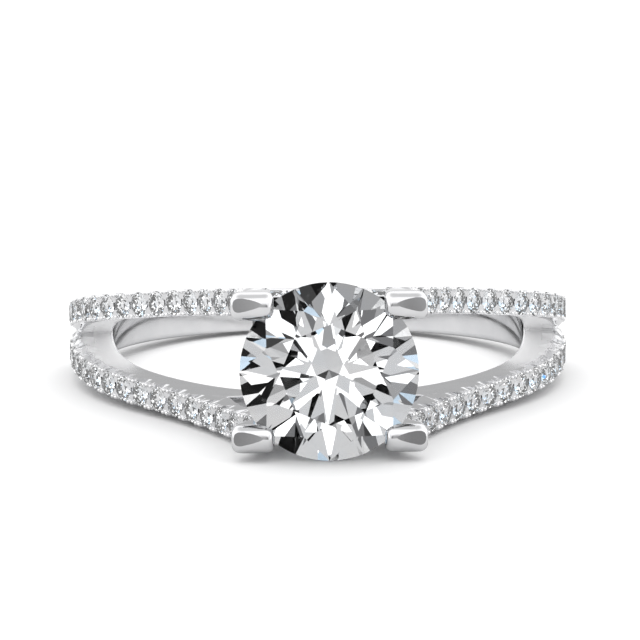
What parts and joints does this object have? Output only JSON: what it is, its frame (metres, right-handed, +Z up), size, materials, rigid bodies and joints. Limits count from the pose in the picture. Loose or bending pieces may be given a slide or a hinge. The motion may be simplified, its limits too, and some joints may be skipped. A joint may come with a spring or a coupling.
{
  "type": "diamond engagement ring",
  "caption": "Finger ring with a split band paved with small stones, whose branches rise to claws that hold one large round stone.",
  "frame": {"origin": "centre of the finger hole; the ring lies on its side as it rests on a table", "axes": "+Z up from the table, tilted a little off the finger hole's axis; the stone's table faces -Y; +X to the right as seen from the stone's side"},
  "size_m": [0.0204, 0.0258, 0.0063],
  "materials": {
    "metal": "polished white gold",
    "centre_stone": "polished facets",
    "pave": "small brilliants held by polished beads"
  },
  "bodies": {
    "root": {"ring_mount": "metal", "centre_stone": "centre_stone", "pave_upper_left": "pave", "pave_upper_right": "pave", "pave_lower_left": "pave", "pave_lower_right": "pave", "pave_bridge_upper": "pave", "pave_bridge_lower": "pave"}
  },
  "joints": []
}
